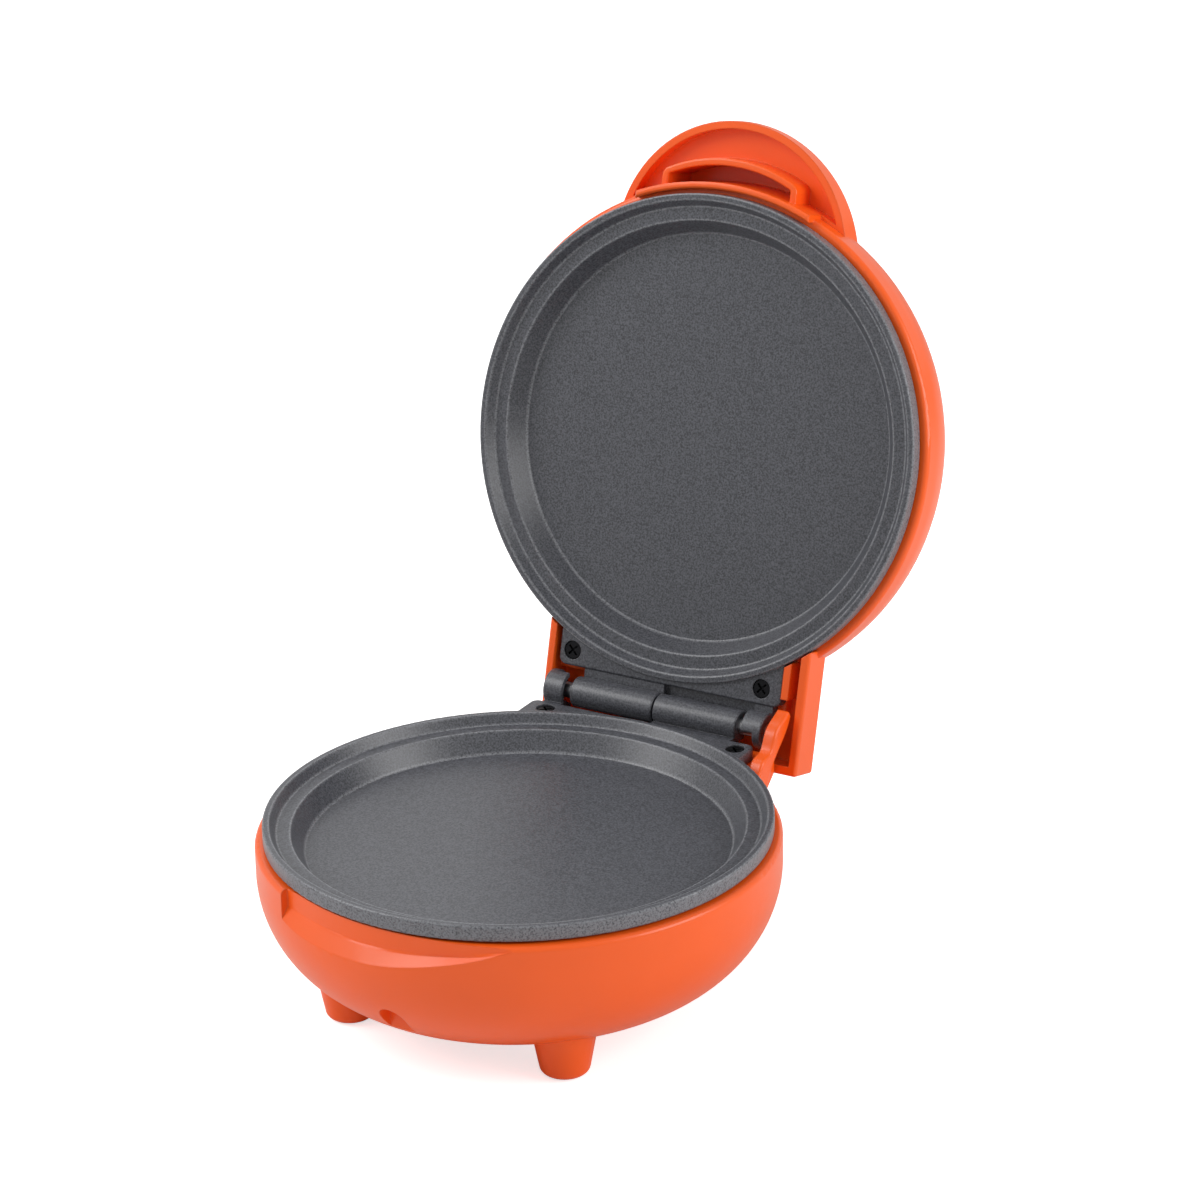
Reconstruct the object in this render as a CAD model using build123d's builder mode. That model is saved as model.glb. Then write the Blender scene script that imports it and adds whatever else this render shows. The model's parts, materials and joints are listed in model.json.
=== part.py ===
from build123d import *
from math import cos, radians, sin, sqrt
import os

# Pancake maker, millimetres, +Z up, front towards -Y, shown standing open.
# Both halves are drawn in the frame of their cooking plate: u to the right of the casting, v towards
# the hinge, w out of the cooking face, with w = 0 at the plate's rim. The upper half is the same frame
# turned over about the hinge and swung open, so the two plates are one casting used twice.

# Overall sizes
plate_radius = 61.5        # outside of the raised rim
bowl_overhang = 2.0        # housing beyond the plate
bowl_depth = 40.5          # plate rim to the bowl's flat bottom
bowl_side = 11.8           # plate rim to the round between the bowl's side and bottom
lid_depth = 33.0           # plate rim to the lid's flat top
lid_side = 9.0
foot_height = 7.3          # bowl bottom to the ends of the stud feet
wall = 2.4                 # moulded wall of both housings
bowl_y = -33.3             # bowl axis, measured from the middle of the open footprint

# Hinge
hinge_setback = 6.0        # hinge axis behind the edge of the plate's tab
hinge_rise = 0.5           # hinge axis above the plate rim
open_angle = 104.9         # from closed to leaning on the stop
knuckle_radius = 3.95
knuckle_start = 0.2        # from the middle seam
knuckle_end = 23.9
ear_radius = 4.7
ear_inner = 29.0
ear_outer = 31.4
knuckle_round = 0.45
ear_block_inner = 25.9
pin_radius = 2.1
pin_clearance = 0.05
pin_inner_end = 12.0

# Cooking plate casting
rim_width = 1.6
step_draft = 1.6
land_depth = 2.5
land_width = 3.5
pan_draft = 3.3
pan_depth = 7.6
pan_floor = 2.8
flange_height = 3.9        # rim side wall that shows above the housing
skirt_inset = 3.1          # skirt inside the housing's lip
skirt_depth = 6.5
cast_round = 0.4
tab_ear_side = 33.0        # the tab is wider on the side of its ear
tab_knuckle_side = 31.0
tab_overhang = 1.5         # tab edge beyond the rim, towards the hinge
tab_drop = 1.0
tab_thickness = 3.35
tab_corner = 2.0
tab_round = 0.5
web_drop = 1.6             # top of the webs between the tab and the hinge
tab_lip = 3.5              # ledge of the tab behind the other plate's knuckle
tab_lip_height = 1.05
hook_x = 8.0
hook_width = 6.0
hook_inset = 1.4           # tip of the hooks inside the skirt
hook_wall = 2.2
hook_drop = 3.0
hook_tip_height = 1.7
ledge_gap = 1.0            # from the ledges to the underside of the plate
ledge_height = 1.6
ledge_margin = 1.0

# Fixings of the plates
plate_screw_x = 27.3
plate_screw_inset = 4.0    # from the tab's edge
plate_screw_head = 2.2
plate_screw_shank = 1.4
plate_screw_length = 6.0
counterbore_clearance = 0.25
counterbore_depth = 1.5
head_height = 1.2
shank_clearance = 0.2
leg_clearance = 1.2        # heater legs through the reflector

# Heater, reflector and what they carry
heater_inset = 14.5        # ring of the heater inside the pan's flat
heater_tube = 3.0
heater_gap_angle = 20.0
heater_leg_bend = 6.0
heater_leg_end = 20.5      # below the plate rim
bead_length = 2.4
heater_pin_length = 2.6
rib_height = 2.5
rib_width = 1.2
boss_inset = 8.8           # ring of the bosses inside the land
boss_radius = 3.2
boss_end = 17.4
reflector_inset = 2.8
reflector_sheet = 0.6
reflector_lip = 2.2
small_screw_head = 2.3
small_screw_shank = 1.1
small_screw_length = 6.0
small_head_height = 1.1
thermostat_screw_length = 3.2
contact_gap = 0.05

# Housing lip, finger scoop, cord notch
lip_drop = 4.4             # lip below the plate rim
lip_round = 1.3
lip_bore_clearance = 0.7   # round the plate's skirt
lip_depth = 2.4
scoop_half_width = 33.0
scoop_sections = (         # angle from the front, set back, depth of the crease and of the lower edge
    (-30.3, 1.7, 8.8, 11.8), (-26.2, 2.3, 9.0, 12.5), (-19.3, 2.6, 9.1, 13.1), (-10.0, 2.6, 9.1, 13.2),
    (0.0, 2.6, 9.1, 12.6), (10.0, 2.2, 8.8, 10.8), (19.3, 1.3, 7.7, 8.6), (26.2, 0.6, 5.9, 6.4),
    (30.8, 0.1, 4.6, 4.8),
)
scoop_reach = 4.5          # how far the scoop's cut runs past the bowl's side
scoop_wall_low = 17.2      # lower end of the thicker wall behind the scoop
scoop_wall_inset = 0.5
notch_width = 7.0
notch_top = 25.5
notch_inset = 9.9          # flat face of the notch inside the bowl's side

# Feet
front_foot_inset = 20.36   # foot centres inside the bowl's side
front_foot_angle = 45.94   # from the x axis
front_foot_top = 32.0      # feet meet the bowl, below the plate rim
rear_foot_inset = 4.9
rear_foot_angle = 64.75
rear_leg_top = 24.0
rear_leg_cap = 8.0         # sloping top of the rear legs
rear_leg_cap_radius = 3.0
foot_taper = 0.186         # radius gained for each millimetre of height
foot_end_radius = 5.8
foot_round = 2.0
pad_radius = 3.4
pad_recess = 1.6
pad_proud = 0.3

# Hinge shelf, fin and hinge cover
shelf_half_width = 33.3
shelf_overhang = 3.7       # shelf beyond the edge of the plate's tab
shelf_start = 23.5         # where it begins, inside the bowl's side
shelf_top = 4.4
shelf_edge = 9.0
shelf_low = 17.5
shelf_low_inset = 7.5
shelf_hollow_inset = 5.0   # hollow under the shelf, between the screws
shelf_hollow_low = 14.0
fin_inner = 33.6
fin_outer = 36.8
fin_round = 0.7
fin_front = ((-19.0, -8.0), (-14.2, -4.2), (-12.4, -2.3), (-8.6, -1.4), (-6.2, 2.2), (-0.6, 5.4), (1.4, 6.2))
fin_rear = ((2.2, 4.6), (-1.9, -0.4), (-5.8, -3.6), (-8.3, -6.2), (-10.4, -9.6), (-13.0, -14.0))
cover_free_side = 34.4     # half width on the side of the plate's knuckle
cover_fin_side = 40.0      # half width on the side of its ear, which has room for the fin
cover_wall = 2.25
cover_start = 33.5         # where it begins, inside the bowl's side
cover_hollow_start = 25.5
cover_overhang = 10.3      # cover beyond the hinge axis
cover_depth = 9.9
cover_edge = 0.2
cover_round = 0.9
rim_gap = 0.5              # hinge cover round the plate's rim
lid_shelf_start = 13.5
lid_shelf_overhang = 1.2
rib_wall = 1.9
rib_start = 15.5
rib_end = 3.0
rib_edge = 0.3
pilot_cover = 1.0

# Handle at the front of the lid
handle_inset = 16.1        # handle's centre inside the bowl's side
handle_radius = 32.5
handle_wall = 1.9
handle_edge = 9.0          # lower edge of the handle, below the plate rim
handle_side = 13.0         # end of its side wall, at the front
handle_back = 27.6         # highest point of its back
handle_crown = 60.0        # radius of its domed back
handle_round = 2.2
handle_recess = 12.6
guard_gap = 1.2            # from the plate's rim to the guard
guard_wall = 1.7
guard_half_width = 24.5
guard_top = 1.6
pocket_half_width = 19.0
pocket_reach = 6.1         # front of the pocket beyond the guard
pocket_bow = 38.0
pocket_wall = 1.8
pocket_top = 4.7
pocket_floor = 17.2
pocket_round = 2.6
edge_round = 0.5

# Cord inlet, terminal block, thermostat, fuse and lamp
inlet_drop = 24.0
inlet_boss_radius = 7.4
inlet_boss_proud = 1.1     # beyond the bowl's side
inlet_boss_length = 10.2
bush_radius = 5.0
bush_bore = 3.1
bush_flange = 6.4
bush_flange_thickness = 1.6
bush_fit = 0.05
block_size = (26.0, 12.0, 10.0)
block_inset = 9.0          # terminal block inside the ring of the heater
block_round = 1.0
post_height = 4.0
post_radius = 2.6
post_x = 9.0
port_pitch = 8.0
port_radius = 1.6
port_screw_clearance = 0.1
port_shank_inset = 0.4     # from a screw's head radius to its shank's
port_screw_height = 1.6    # head and shank
thermostat_radius = 8.0
thermostat_height = 8.6
thermostat_flange = (27.0, 9.0, 0.8)
thermostat_screw_x = 11.0
thermostat_drop = 2.4
thermostat_room = 1.0      # from the thermostat to the edge of the reflector's opening
blade_size = (0.8, 5.0, 6.0)
blade_x = 4.0
fuse_v = -30.0
fuse_radius = 2.0
fuse_length = 16.0
clip_width = 6.0
clip_wall = 0.9
lead_radius = 0.9
lead_low = 3.6             # lowest run of the leads, above the inside of the bottom
lead_bend = 1.9
lead_wide_bend = 2.4
lead_side = 4.0            # runs beside the terminal block
lead_back = 3.0            # runs in front of the heater's ends
lamp_v = -30.0
lamp_radius = 2.4
lamp_length = 7.0
lamp_base = 2.0
lamp_pitch = 1.6
lamp_lead_rise = 2.2
lamp_lead_spread = 14.0
lamp_lead_narrow = 4.0
lamp_lead_bend = 1.0
lens_radius = 4.2
lens_stem = 3.3
lens_proud = 1.0
lens_fit = 0.1
lens_wall = 1.6
lens_inside = 1.0
lens_round = 0.4

# Derived places
bowl_radius = plate_radius + bowl_overhang
bowl_corner = bowl_depth - bowl_side
lid_corner = lid_depth - lid_side
tab_reach = plate_radius + tab_overhang
hinge_reach = tab_reach + hinge_setback
plate_screw_v = tab_reach - plate_screw_inset
shelf_reach = tab_reach + shelf_overhang
lid_shelf_reach = tab_reach + lid_shelf_overhang
cover_reach = hinge_reach + cover_overhang
guard_inner = plate_radius + guard_gap
guard_outer = guard_inner + guard_wall
pocket_front = guard_outer + pocket_reach
handle_centre = bowl_radius - handle_inset
notch_face = bowl_radius - notch_inset
inlet_boss_end = bowl_radius + inlet_boss_proud
inlet_boss_start = inlet_boss_end - inlet_boss_length
front_foot = (
    (bowl_radius - front_foot_inset) * cos(radians(front_foot_angle)),
    -(bowl_radius - front_foot_inset) * sin(radians(front_foot_angle)),
)
rear_foot = (
    (bowl_radius - rear_foot_inset) * cos(radians(rear_foot_angle)),
    (bowl_radius - rear_foot_inset) * sin(radians(rear_foot_angle)),
)
foot_places = [(turn * x, y) for (x, y) in (front_foot, rear_foot) for turn in (-1, 1)]
rim_height = foot_height + bowl_depth
pan_rim_inner = plate_radius - rim_width
land_outer = pan_rim_inner - step_draft
land_inner = land_outer - land_width
pan_radius = land_inner - pan_draft
heater_ring = pan_radius - heater_inset
block_v = heater_ring - block_inset
boss_ring = land_inner - boss_inset
reflector_radius = land_inner - reflector_inset
skirt_radius = plate_radius - skirt_inset
hook_lip = skirt_radius - hook_inset
underside = pan_depth + pan_floor
lip_bore = skirt_radius + lip_bore_clearance
tab_bottom = tab_drop + tab_thickness
heater_drop = underside + contact_gap + heater_tube
reflector_top = boss_end + contact_gap
reflector_bottom = reflector_top + reflector_sheet
heater_pin_end = heater_leg_end + bead_length + heater_pin_length
fuse_drop = reflector_bottom + contact_gap + clip_wall + fuse_radius
inner_bottom = bowl_depth - wall
inner_top = lid_depth - wall
block_low = inner_bottom - post_height - contact_gap
block_ports = (-port_pitch, 0.0, port_pitch)

turned = radians(open_angle)
base_frame = Plane(origin=(0, bowl_y, rim_height), x_dir=(1, 0, 0), z_dir=(0, 0, 1))
lid_normal = Vector(0, -sin(turned), -cos(turned))
lid_towards_hinge = Vector(0, cos(turned), -sin(turned))
hinge_point = Vector(0, bowl_y + hinge_reach, rim_height + hinge_rise)
lid_frame = Plane(
    origin=hinge_point - lid_towards_hinge * hinge_reach - lid_normal * hinge_rise,
    x_dir=(-1, 0, 0),
    z_dir=lid_normal,
)


def section(frame):
    """Plane through the plate's axis: x is u and y is w."""
    return Plane(origin=frame.origin, x_dir=frame.x_dir, z_dir=-frame.y_dir)


def side(frame, u=0.0):
    """Plane square to the hinge: x is v and y is w."""
    return Plane(origin=frame.origin + frame.x_dir * u, x_dir=frame.y_dir, z_dir=frame.x_dir)


def facing_hinge(frame, v=0.0):
    """Plane across the plate at v, looking back from the hinge: x is -u and y is w."""
    return Plane(origin=frame.origin + frame.y_dir * v, x_dir=-frame.x_dir, z_dir=frame.y_dir)


def spot(frame, u, v, w):
    """A place in a plate's frame, in the frame of the whole object."""
    return frame.origin + frame.x_dir * u + frame.y_dir * v + frame.z_dir * w


def plate_axis(frame):
    return Axis(frame.origin, frame.z_dir)


def disc(frame, w_low, w_high, radius, places=((0, 0),), mode=Mode.ADD):
    """Upright round bars between two heights, at each place."""
    with BuildSketch(frame.offset(w_low)) as ends:
        with Locations(*places):
            Circle(radius)
    extrude(ends.sketch, amount=w_high - w_low, mode=mode)


def slab(frame, u_range, v_range, w_range, mode=Mode.ADD):
    """A block between two values of u, of v and of w."""
    with BuildSketch(frame.offset(w_range[0])) as foot:
        with Locations(((u_range[0] + u_range[1]) / 2, (v_range[0] + v_range[1]) / 2)):
            Rectangle(u_range[1] - u_range[0], v_range[1] - v_range[0])
    extrude(foot.sketch, amount=w_range[1] - w_range[0], mode=mode)


def hinge_bar(frame, u_low, u_high, radius, mode=Mode.ADD):
    """A round bar on the hinge axis."""
    with BuildSketch(side(frame, u_low)) as end:
        with Locations((hinge_reach, hinge_rise)):
            Circle(radius)
    extrude(end.sketch, amount=u_high - u_low, mode=mode)


def rounded_bar(frame, u_low, u_high, radius):
    """A hinge bar with rounded ends."""
    with BuildPart() as bar:
        hinge_bar(frame, u_low, u_high, radius)
        fillet(bar.edges().filter_by(GeomType.CIRCLE), knuckle_round)
    return bar.part


def web_outline(radius):
    """Web from the tab to a round of the hinge, seen from the side."""
    with BuildSketch() as web:
        with BuildLine():
            Polyline(
                (tab_reach - tab_corner, -web_drop),
                (hinge_reach - radius / 2, -web_drop),
                (hinge_reach, hinge_rise - radius),
                (tab_reach - tab_corner, -tab_bottom),
                close=True,
            )
        make_face()
    return web.sketch


def plate_tab(frame):
    """Flat tab behind the rim, with rounded corners and upper edges."""
    with BuildPart() as tab:
        with BuildSketch(frame.offset(-tab_bottom)):
            with Locations(((tab_knuckle_side - tab_ear_side) / 2, tab_reach - plate_radius / 2)):
                RectangleRounded(tab_ear_side + tab_knuckle_side, plate_radius, tab_corner)
        extrude(amount=tab_thickness)
        fillet(tab.faces().sort_by(plate_axis(frame))[-1].edges(), tab_round)
        disc(frame, -tab_bottom, 0, plate_radius - rim_width / 2, mode=Mode.SUBTRACT)
    return tab.part


def cooking_plate(frame):
    """Cast plate with its pan, rear tab, one long knuckle, one ear and two front hooks."""
    with BuildPart() as plate:
        with BuildSketch(section(frame)):
            with BuildLine():
                skin = FilletPolyline(
                    (0, -pan_depth), (pan_radius, -pan_depth), (land_inner, -land_depth),
                    (land_outer, -land_depth), (pan_rim_inner, 0), (plate_radius, 0),
                    (plate_radius, -flange_height), (skirt_radius, -flange_height),
                    (skirt_radius, -skirt_depth), (land_inner, -underside), (0, -underside),
                    radius=cast_round,
                )
                Line(skin @ 1, skin @ 0)
            make_face()
        revolve(axis=plate_axis(frame))

        # Rear tab, and its lip behind the other plate's knuckle
        add(plate_tab(frame))
        slab(
            frame, (-ear_block_inner, knuckle_start), (tab_reach - tab_corner, tab_reach + tab_lip),
            (-tab_bottom, -tab_bottom + tab_lip_height),
        )

        # Long knuckle on one half, joined to the tab by a web
        add(rounded_bar(frame, knuckle_start, knuckle_end, knuckle_radius))
        with BuildSketch(side(frame, knuckle_start)):
            add(web_outline(knuckle_radius))
        extrude(amount=knuckle_end - knuckle_round - knuckle_start)

        # Ear at the other end: a disc, a web to the tab and a stop segment beside the knuckle
        add(rounded_bar(frame, -ear_outer, -ear_inner, ear_radius))
        with BuildSketch(side(frame, -ear_outer + knuckle_round)):
            add(web_outline(ear_radius))
        extrude(amount=ear_outer - knuckle_round - ear_block_inner)
        with BuildSketch(side(frame, -ear_inner - knuckle_round)):
            with Locations((hinge_reach, hinge_rise)):
                Circle(ear_radius)
                Circle(knuckle_radius - cast_round, mode=Mode.SUBTRACT)
            with Locations((hinge_reach - ear_radius / 2, hinge_rise)):
                Rectangle(ear_radius, 2 * ear_radius, mode=Mode.INTERSECT)
        extrude(amount=ear_inner + knuckle_round - ear_block_inner)

        hinge_bar(frame, -ear_outer, knuckle_end, pin_radius + pin_clearance, mode=Mode.SUBTRACT)

        # Ribs that locate the heater, and the bosses of the reflector and the thermostat
        for edge in (heater_ring - heater_tube - rib_width, heater_ring + heater_tube):
            with BuildSketch(frame.offset(-underside - rib_height)):
                Circle(edge + rib_width)
                Circle(edge, mode=Mode.SUBTRACT)
            extrude(amount=rib_height + pan_floor / 2)
        disc(frame, -boss_end, -underside, boss_radius, boss_places())
        disc(frame, -boss_end, -underside - pan_floor / 2, small_screw_shank, boss_places(), Mode.SUBTRACT)
        disc(frame, -underside - thermostat_drop, -underside, small_screw_head, thermostat_screw_places())
        disc(
            frame, -underside - thermostat_drop, -pan_depth - pan_floor / 3, small_screw_shank,
            thermostat_screw_places(), Mode.SUBTRACT,
        )

        # Front hooks that slip under the ledges of the housing
        for centre in (-hook_x, hook_x):
            across = (centre - hook_width / 2, centre + hook_width / 2)
            slab(
                frame, across, (-hook_lip + 2 * hook_wall, -hook_lip + hook_wall),
                (-underside - hook_drop, -underside + pan_floor / 2),
            )
            slab(
                frame, across, (-hook_lip, -hook_lip + hook_wall),
                (-underside - hook_drop, -underside - hook_drop + hook_tip_height),
            )

        # Screw holes in the tab
        with BuildSketch(frame.offset(-tab_drop - counterbore_depth)):
            with Locations((-plate_screw_x, plate_screw_v), (plate_screw_x, plate_screw_v)):
                Circle(plate_screw_head + counterbore_clearance)
        extrude(amount=counterbore_depth + tab_drop, mode=Mode.SUBTRACT)
        with BuildSketch(frame.offset(-tab_bottom)):
            with Locations((-plate_screw_x, plate_screw_v), (plate_screw_x, plate_screw_v)):
                Circle(plate_screw_shank + shank_clearance)
        extrude(amount=tab_thickness, mode=Mode.SUBTRACT)
    return plate


def boss_places():
    return [(boss_ring * cos(radians(a)), boss_ring * sin(radians(a))) for a in (-30, 210, 90)]


def thermostat_screw_places():
    return [(-thermostat_screw_x, 0), (thermostat_screw_x, 0)]


def cross_head_screws(frame, places, head_w, head_radius, height, shank, length, sign=1):
    """Screws with a cross recess. sign 1 shows the head towards +w, -1 towards -w."""
    with BuildPart() as screws:
        with BuildSketch(frame.offset(head_w)):
            with Locations(*places):
                Circle(head_radius)
        extrude(amount=-sign * height)
        with BuildSketch(frame.offset(head_w - sign * height)):
            with Locations(*places):
                Circle(shank)
        extrude(amount=-sign * length)
        with BuildSketch(frame.offset(head_w)):
            with Locations(*places):
                Rectangle(1.5 * head_radius, head_radius / 4, rotation=45)
                Rectangle(1.5 * head_radius, head_radius / 4, rotation=-45)
        extrude(amount=-sign * height * 0.7, mode=Mode.SUBTRACT)
    return screws


def tab_screws(frame):
    places = [(-plate_screw_x, plate_screw_v), (plate_screw_x, plate_screw_v)]
    seat = -tab_drop - counterbore_depth
    return cross_head_screws(
        frame, places, seat + head_height, plate_screw_head, head_height, plate_screw_shank,
        plate_screw_length,
    )


def heater(frame):
    """Sheathed ring heater under the plate, with both ends turned down at the rear."""
    gap = radians(heater_gap_angle)
    start = (heater_ring * sin(gap), heater_ring * cos(gap))
    inward = (-cos(gap), sin(gap))
    leg = (start[0] + inward[0] * heater_leg_bend, start[1] + inward[1] * heater_leg_bend)
    eased = heater_leg_bend * sin(radians(45))
    dropped = heater_leg_bend * (1 - cos(radians(45)))
    with BuildPart() as ring:
        with BuildLine() as path:
            for turn in (1, -1):
                Line(
                    spot(frame, turn * leg[0], leg[1], -heater_leg_end),
                    spot(frame, turn * leg[0], leg[1], -heater_drop - heater_leg_bend),
                )
                ThreePointArc(
                    spot(frame, turn * leg[0], leg[1], -heater_drop - heater_leg_bend),
                    spot(
                        frame, turn * (start[0] + inward[0] * eased), start[1] + inward[1] * eased,
                        -heater_drop - dropped,
                    ),
                    spot(frame, turn * start[0], start[1], -heater_drop),
                )
            ThreePointArc(
                spot(frame, start[0], start[1], -heater_drop),
                spot(frame, 0, -heater_ring, -heater_drop),
                spot(frame, -start[0], start[1], -heater_drop),
            )
        with BuildSketch(Plane(origin=spot(frame, leg[0], leg[1], -heater_leg_end), z_dir=frame.z_dir)):
            Circle(heater_tube)
        sweep(path=path.wires()[0])
    return ring


def heater_leg_places():
    gap = radians(heater_gap_angle)
    u = heater_ring * sin(gap) - cos(gap) * heater_leg_bend
    v = heater_ring * cos(gap) + sin(gap) * heater_leg_bend
    return [(-u, v), (u, v)]


def heater_ends(frame):
    """Ceramic beads with a steel pin on both ends of the heater."""
    with BuildPart() as ends:
        disc(frame, -heater_leg_end - bead_length, -heater_leg_end, heater_tube * 0.85, heater_leg_places())
        disc(frame, -heater_pin_end, -heater_leg_end - bead_length, lead_radius, heater_leg_places())
    return ends


def reflector(frame, with_thermostat):
    """Thin dished sheet below the heater, screwed to the plate's bosses."""
    with BuildPart() as sheet:
        with BuildSketch(section(frame)):
            with BuildLine():
                Polyline(
                    (0, -reflector_top), (reflector_radius, -reflector_top),
                    (reflector_radius + reflector_lip / 2, -reflector_top + reflector_lip),
                    (reflector_radius + reflector_lip / 2 + reflector_sheet, -reflector_top + reflector_lip),
                    (reflector_radius + reflector_sheet, -reflector_bottom), (0, -reflector_bottom),
                    close=True,
                )
            make_face()
        revolve(axis=plate_axis(frame))
        disc(frame, -reflector_bottom, -reflector_top, small_screw_shank + shank_clearance, boss_places(),
             Mode.SUBTRACT)
        disc(
            frame, -reflector_bottom, -reflector_top, heater_tube + leg_clearance, heater_leg_places(),
            Mode.SUBTRACT,
        )
        if with_thermostat:
            slab(
                frame,
                (-thermostat_flange[0] / 2 - thermostat_room, thermostat_flange[0] / 2 + thermostat_room),
                (-thermostat_radius - thermostat_room, thermostat_radius + thermostat_room),
                (-reflector_bottom, -reflector_top),
                Mode.SUBTRACT,
            )
    return sheet


def reflector_screws(frame):
    return cross_head_screws(
        frame, boss_places(), -reflector_bottom - small_head_height, small_screw_head, small_head_height,
        small_screw_shank - contact_gap, small_screw_length, sign=-1,
    )


def bowl_outline(depth, corner, radius, top, top_round=0.0):
    """Half outline of a housing, from its axis along the bottom and up the side."""
    with BuildSketch() as outline:
        with BuildLine():
            Line((0, -depth), (radius - corner, -depth))
            TangentArc((radius - corner, -depth), (radius, -depth + corner), tangent=(1, 0))
            Line((radius, -depth + corner), (radius, -top - top_round))
            if top_round:
                TangentArc((radius, -top - top_round), (radius - top_round, -top), tangent=(0, 1))
            Line((radius - top_round, -top), (0, -top))
            Line((0, -top), (0, -depth))
        make_face()
    return outline.sketch


def housing_hollow(frame, depth, corner):
    """The room inside a housing, up to the bore of its lip."""
    ledge = lip_drop + lip_depth
    rim_step = bowl_radius - wall - lip_bore
    with BuildPart() as room:
        with BuildSketch(section(frame)):
            add(bowl_outline(depth - wall, corner - wall, bowl_radius - wall, ledge + rim_step))
        revolve(axis=plate_axis(frame))
        with BuildSketch(section(frame)):
            with BuildLine():
                Polyline(
                    (0, -ledge - rim_step), (bowl_radius - wall, -ledge - rim_step), (lip_bore, -ledge),
                    (lip_bore, 0), (0, 0), close=True,
                )
            make_face()
        revolve(axis=plate_axis(frame))
    return room.part


def hook_ledges(frame, outer):
    """Ledges on the front wall that hold down the plate's hooks. outer is their root in the wall."""
    middle = -hook_lip - outer / 2 + ledge_gap
    with BuildSketch(frame.offset(-underside - ledge_gap)) as ledges:
        with Locations((-hook_x, middle), (hook_x, middle)):
            Rectangle(hook_width + 2 * ledge_margin, outer)
        Circle(outer, mode=Mode.INTERSECT)
    extrude(ledges.sketch, amount=ledge_height)


def screw_pilots(frame, floor):
    """Pilot holes for the tab screws, in the shelf under the tab."""
    pilot = [(-plate_screw_x, plate_screw_v), (plate_screw_x, plate_screw_v)]
    disc(frame, -floor, -shelf_top + pilot_cover, plate_screw_shank + contact_gap, pilot, Mode.SUBTRACT)


def hinge_fin():
    """Curved fin on the base beside the hinge, on the side of the lid plate's ear."""
    frame = base_frame
    with BuildPart() as fin:
        with BuildSketch(side(frame, fin_inner)):
            with BuildLine():
                front = Spline(*[(hinge_reach + v, hinge_rise + w) for (v, w) in fin_front])
                rear = Spline(*[(hinge_reach + v, hinge_rise + w) for (v, w) in fin_rear])
                Line(front @ 1, rear @ 0)
                Line(rear @ 1, front @ 0)
            make_face()
        extrude(amount=fin_outer - fin_inner)
        fillet(fin.edges().filter_by(Axis.X).sort_by(Axis.Y)[-2:], fin_round)
        fillet(fin.faces().sort_by(Axis.X)[-1].edges(), fin_round)
    return fin.part


def finger_scoop():
    """The bite out of the bowl's front edge under the handle: a set back wall over a sloping shelf."""
    frame = base_frame
    with BuildPart() as scoop:
        for (angle, setback, crease, edge) in scoop_sections:
            outward = frame.x_dir * sin(radians(angle)) - frame.y_dir * cos(radians(angle))
            slope = (edge - crease) / setback
            with BuildSketch(Plane(origin=frame.origin, x_dir=outward, z_dir=outward.cross(frame.z_dir))):
                with BuildLine():
                    Polyline(
                        (bowl_radius - setback, 0), (bowl_radius - setback, -crease), (bowl_radius, -edge),
                        (bowl_radius + scoop_reach, -edge - min(slope, 1) * scoop_reach),
                        (bowl_radius + scoop_reach, 0), close=True,
                    )
                make_face()
        loft()
    return scoop.part


def base_room():
    """The room inside the bowl, which leaves thicker walls behind the scoop and the notch."""
    frame = base_frame
    with BuildPart() as room:
        add(housing_hollow(frame, bowl_depth, bowl_corner))
        with BuildSketch(frame.offset(-scoop_wall_low)) as backing:
            Circle(bowl_radius)
            Circle(lip_bore - scoop_wall_inset, mode=Mode.SUBTRACT)
            with Locations((0, -bowl_radius)):
                Rectangle(2 * scoop_half_width + 2 * wall, bowl_radius, mode=Mode.INTERSECT)
        extrude(backing.sketch, amount=scoop_wall_low - lip_drop - lip_depth, mode=Mode.SUBTRACT)
        slab(
            frame, (-notch_width / 2 - wall, notch_width / 2 + wall), (-bowl_radius, -notch_face + wall),
            (-bowl_depth, -notch_top + wall), Mode.SUBTRACT,
        )
        slab(
            frame, (-plate_screw_x + shelf_hollow_inset, plate_screw_x - shelf_hollow_inset),
            (bowl_radius - shelf_start, shelf_reach - wall), (-shelf_hollow_low, -shelf_top - wall),
        )
    return room.part


def handle_solid():
    """Crescent handle with a domed back that rises from its side wall to the lid's dome."""
    frame = lid_frame
    crown_height = handle_crown - handle_back
    front_reach = sqrt(handle_crown**2 - (crown_height + handle_side) ** 2)
    with BuildPart() as handle:
        disc(frame, -lid_depth, -handle_edge, handle_radius, [(0, -handle_centre)])
        with Locations(spot(frame, 0, -handle_centre - handle_radius + front_reach, crown_height)):
            Sphere(handle_crown, mode=Mode.INTERSECT)
        slab(frame, (-handle_radius, handle_radius), (-handle_centre, 0), (-lid_depth, 0), Mode.SUBTRACT)
        crown = handle.faces().filter_by(GeomType.SPHERE).edges().filter_by(GeomType.BSPLINE)
        fillet(crown, handle_round)

        # Recess on the plate's side, and in it the pocket and the guard
        with BuildSketch(frame.offset(-handle_recess)):
            with Locations((0, -handle_centre)):
                Circle(handle_radius - handle_wall)
            Circle(guard_outer, mode=Mode.SUBTRACT)
        extrude(amount=handle_recess, mode=Mode.SUBTRACT)
        with BuildSketch(frame.offset(-pocket_floor)):
            add(pocket_outline(pocket_wall))
            Circle(guard_outer, mode=Mode.SUBTRACT)
        extrude(amount=pocket_floor - handle_recess, mode=Mode.SUBTRACT)
        add(handle_guard())
        add(pocket_walls())
        with BuildSketch(section(frame)):
            add(bowl_outline(lid_depth - wall / 2, lid_corner - wall / 2, bowl_radius - wall / 2, 0.0))
        revolve(axis=plate_axis(frame), mode=Mode.SUBTRACT)
    return handle.part


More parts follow.
